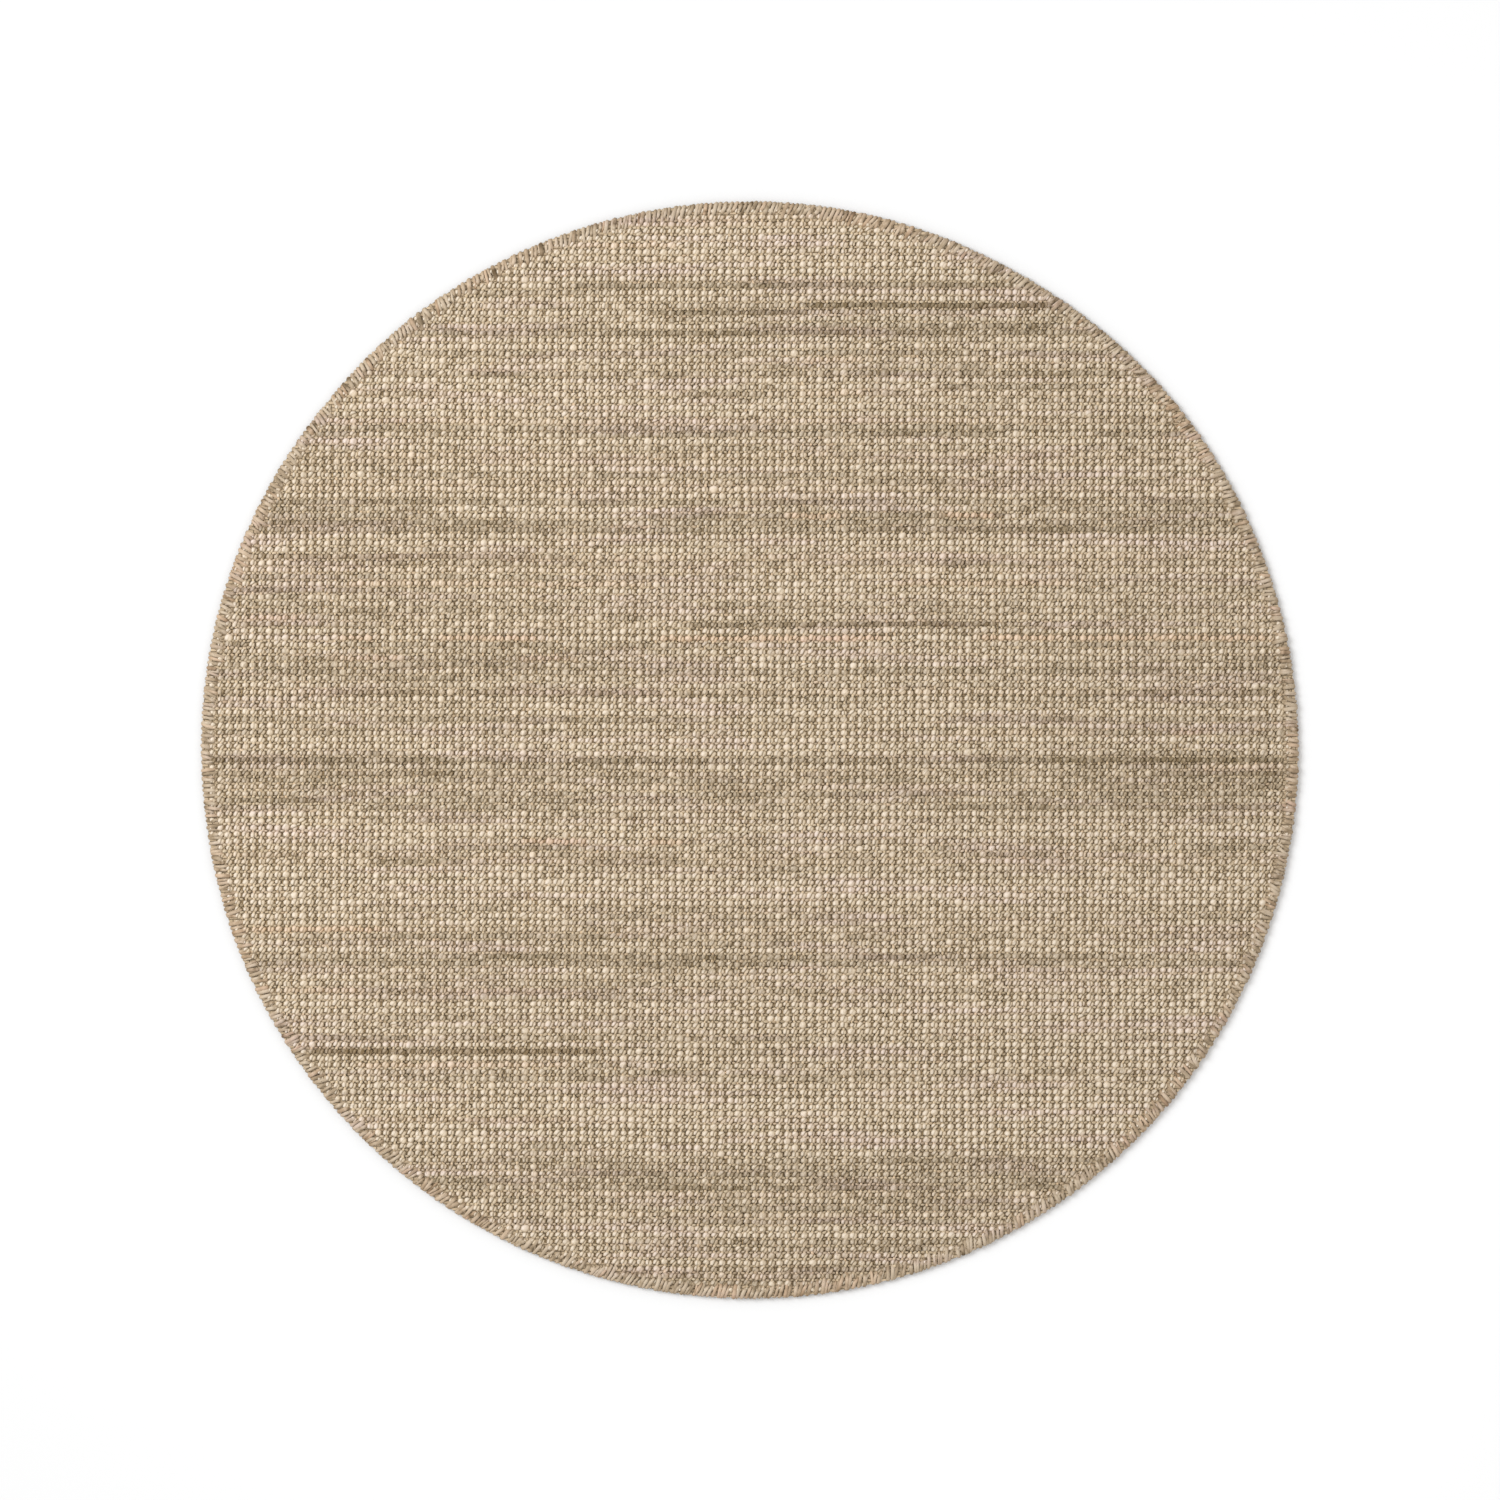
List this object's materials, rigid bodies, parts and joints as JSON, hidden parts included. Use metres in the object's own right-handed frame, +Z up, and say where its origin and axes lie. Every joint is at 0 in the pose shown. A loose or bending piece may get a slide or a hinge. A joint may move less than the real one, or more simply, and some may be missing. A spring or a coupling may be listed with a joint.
{
  "type": "round jute rug",
  "caption": "Round flat floor rug, hand-woven from jute yarn raised in rows of small loops, with its cut edge whipped over in the same yarn.",
  "frame": {"origin": "middle of the rug's underside, on the surface that it lies on", "axes": "+Z up out of the looped face, +X along the yarns, +Y along the ribs that the loops make, which is up in the picture"},
  "size_m": [1.2003, 1.2, 0.01],
  "materials": {
    "jute_loops": "matt handspun two-ply yarn in raised loops",
    "jute_whipping": "matt yarn stitches laid close side by side"
  },
  "bodies": {
    "root": {"woven_field": "jute_loops", "edge_whipping": "jute_whipping"}
  },
  "joints": []
}
